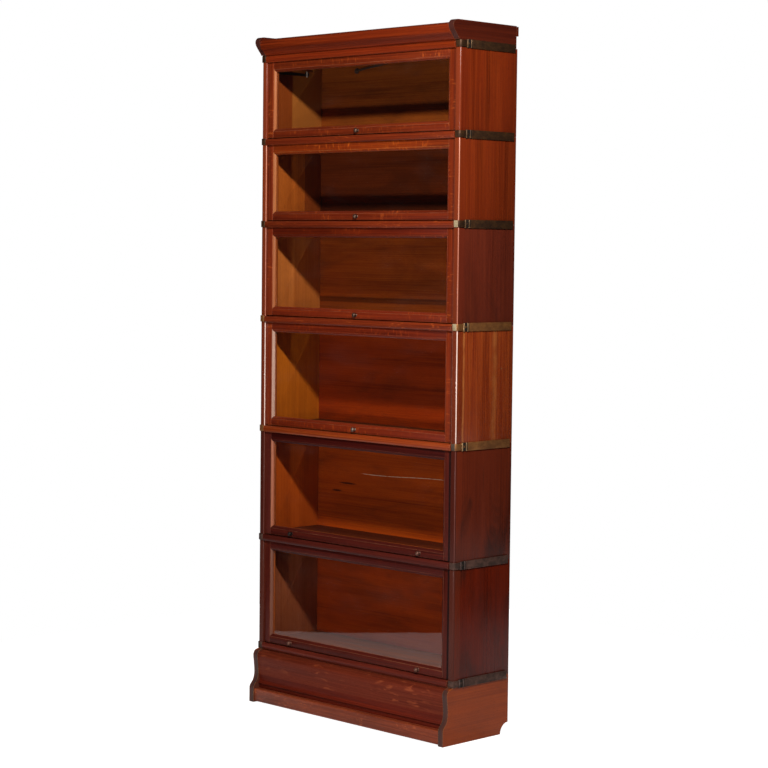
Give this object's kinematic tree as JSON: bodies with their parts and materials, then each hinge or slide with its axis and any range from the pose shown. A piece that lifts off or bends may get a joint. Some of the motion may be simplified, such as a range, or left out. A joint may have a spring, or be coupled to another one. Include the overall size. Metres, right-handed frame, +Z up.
{
  "type": "barrister bookcase",
  "caption": "Tall sectional bookcase: stacked glazed sections with lift-up doors that slide back overhead, on a moulded plinth, under a cornice, tied by brass bands.",
  "frame": {"origin": "on the floor, at the middle of the bounding box", "axes": "+X to the right as seen from in front, +Y to the back, +Z up"},
  "size_m": [0.8748, 0.291, 2.136],
  "materials": {
    "red_oak": "satin red mahogany stain on quarter-sawn oak",
    "dark_oak": "satin dark mahogany stain on oak",
    "plinth_oak": "satin brown mahogany stain on oak",
    "inner_oak": "thin worn stain on oak",
    "glass": "clear old sheet glass",
    "brass": "worn bright",
    "aged_brass": "antique brown",
    "blackened_brass": "nearly black",
    "steel": "dull"
  },
  "bodies": {
    "stack": {"plinth_side_left": "plinth_oak", "plinth_side_right": "plinth_oak", "plinth_front": "plinth_oak", "plinth_back_rail": "plinth_oak", "cornice_side_left": "dark_oak", "cornice_side_right": "dark_oak", "cornice_top": "dark_oak", "cornice_front": "red_oak", "band_left_0": "aged_brass", "band_right_0": "aged_brass", "band_left_1": "aged_brass", "band_right_1": "aged_brass", "band_left_2": "aged_brass", "band_right_2": "aged_brass", "band_left_3": "aged_brass", "band_right_3": "aged_brass", "band_left_4": "aged_brass", "band_right_4": "aged_brass", "band_left_5": "blackened_brass", "band_right_5": "blackened_brass", "band_left_6": "blackened_brass", "band_right_6": "blackened_brass", "case_1": "red_oak", "back_panel_1": "inner_oak", "case_2": "red_oak", "back_panel_2": "inner_oak", "case_3": "red_oak", "back_panel_3": "inner_oak", "case_4": "red_oak", "back_panel_4": "inner_oak", "case_5": "dark_oak", "back_panel_5": "inner_oak", "case_6": "dark_oak", "back_panel_6": "inner_oak"},
    "rod_1": {"hinge_rod_1": "steel"},
    "door_1": {"door_frame_1": "red_oak", "door_glass_1": "glass", "knob_1": "brass"},
    "rod_2": {"hinge_rod_2": "steel"},
    "door_2": {"door_frame_2": "red_oak", "door_glass_2": "glass", "knob_2": "brass"},
    "rod_3": {"hinge_rod_3": "steel"},
    "door_3": {"door_frame_3": "red_oak", "door_glass_3": "glass", "knob_3": "brass"},
    "rod_4": {"hinge_rod_4": "steel"},
    "door_4": {"door_frame_4": "red_oak", "door_glass_4": "glass", "knob_4": "brass"},
    "rod_5": {"hinge_rod_5": "steel"},
    "door_5": {"door_frame_5": "dark_oak", "door_glass_5": "glass", "knob_5_left": "brass", "knob_5_right": "brass"},
    "rod_6": {"hinge_rod_6": "steel"},
    "door_6": {"door_frame_6": "dark_oak", "door_glass_6": "glass", "knob_6_left": "brass", "knob_6_right": "brass"}
  },
  "joints": [
    {"name": "door_1_slide", "type": "slide", "parent": "stack", "child": "rod_1", "axis": [0, 1, 0], "range_m": [0, 0.186]},
    {"name": "door_1_lift", "type": "hinge", "parent": "rod_1", "child": "door_1", "pos_m": [0, -0.092, 2.044], "axis": [-1, 0, 0], "range_deg": [0, 90]},
    {"name": "door_2_slide", "type": "slide", "parent": "stack", "child": "rod_2", "axis": [0, 1, 0], "range_m": [0, 0.186]},
    {"name": "door_2_lift", "type": "hinge", "parent": "rod_2", "child": "door_2", "pos_m": [0, -0.092, 1.782], "axis": [-1, 0, 0], "range_deg": [0, 90]},
    {"name": "door_3_slide", "type": "slide", "parent": "stack", "child": "rod_3", "axis": [0, 1, 0], "range_m": [0, 0.186]},
    {"name": "door_3_lift", "type": "hinge", "parent": "rod_3", "child": "door_3", "pos_m": [0, -0.092, 1.52], "axis": [-1, 0, 0], "range_deg": [0, 90]},
    {"name": "door_4_slide", "type": "slide", "parent": "stack", "child": "rod_4", "axis": [0, 1, 0], "range_m": [0, 0.186]},
    {"name": "door_4_lift", "type": "hinge", "parent": "rod_4", "child": "door_4", "pos_m": [0, -0.092, 1.217], "axis": [-1, 0, 0], "range_deg": [0, 90]},
    {"name": "door_5_slide", "type": "slide", "parent": "stack", "child": "rod_5", "axis": [0, 1, 0], "range_m": [0, 0.186]},
    {"name": "door_5_lift", "type": "hinge", "parent": "rod_5", "child": "door_5", "pos_m": [0, -0.092, 0.864], "axis": [-1, 0, 0], "range_deg": [0, 90]},
    {"name": "door_6_slide", "type": "slide", "parent": "stack", "child": "rod_6", "axis": [0, 1, 0], "range_m": [0, 0.186]},
    {"name": "door_6_lift", "type": "hinge", "parent": "rod_6", "child": "door_6", "pos_m": [0, -0.092, 0.511], "axis": [-1, 0, 0], "range_deg": [0, 90]}
  ],
  "couplings": [
    {"joint": "door_1_slide", "follows": "door_1_lift", "m_per_rad": 0.1184},
    {"joint": "door_2_slide", "follows": "door_2_lift", "m_per_rad": 0.1184},
    {"joint": "door_3_slide", "follows": "door_3_lift", "m_per_rad": 0.1184},
    {"joint": "door_4_slide", "follows": "door_4_lift", "m_per_rad": 0.1184},
    {"joint": "door_5_slide", "follows": "door_5_lift", "m_per_rad": 0.1184},
    {"joint": "door_6_slide", "follows": "door_6_lift", "m_per_rad": 0.1184}
  ]
}
